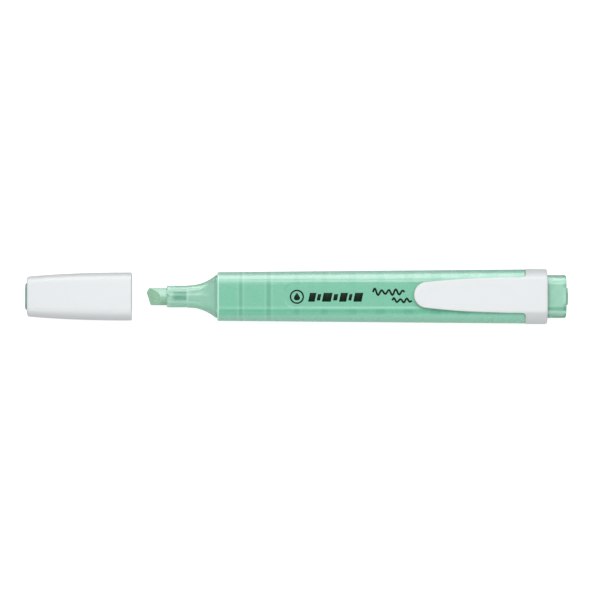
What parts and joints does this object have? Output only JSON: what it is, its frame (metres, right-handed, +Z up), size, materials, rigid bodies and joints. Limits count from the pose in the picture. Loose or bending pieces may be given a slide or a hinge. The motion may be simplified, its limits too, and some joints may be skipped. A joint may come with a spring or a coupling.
{
  "type": "pocket highlighter",
  "caption": "Slim flat-oval pocket highlighter, cap pulled off in front of its chisel nib, with a sprung clip at the rear and a stepped plug for stowing the cap.",
  "frame": {"origin": "under the middle of the whole object, cap included, on the surface that it rests on", "axes": "+X along the pen from the cap towards the end plug, +Y across its flat side, +Z up out of the clip"},
  "size_m": [0.1602, 0.0164, 0.0141],
  "materials": {
    "tinted_plastic": "translucent mint polypropylene, moulded gloss",
    "white_plastic": "opaque white polypropylene, soft moulded gloss",
    "liner_plastic": "opaque mint polyethylene, satin",
    "nib_fibre": "bonded fibre, ink-soaked, matt",
    "reservoir_fibre": "fibre rod, ink-soaked, matt",
    "clear_film": "thin clear film"
  },
  "bodies": {
    "pen": {"barrel": "tinted_plastic", "front_section": "tinted_plastic", "nib": "nib_fibre", "reservoir_core": "reservoir_fibre", "reservoir_film": "clear_film", "end_plug": "tinted_plastic", "clip_ring": "white_plastic"},
    "clip": {"clip_arm": "white_plastic"},
    "cap": {"cap_shell": "white_plastic", "cap_liner": "liner_plastic"}
  },
  "joints": [
    {"name": "cap_slide", "type": "slide", "parent": "pen", "child": "cap", "axis": [1, 0, 0], "range_m": [0, 0.02525]},
    {"name": "clip_flex", "type": "hinge", "parent": "pen", "child": "clip", "pos_m": [0.06742, 0, 0.0135], "axis": [0, 1, 0], "range_deg": [0, 5], "stiffness_Nm_per_rad": 1, "springref_deg": -0.57}
  ]
}
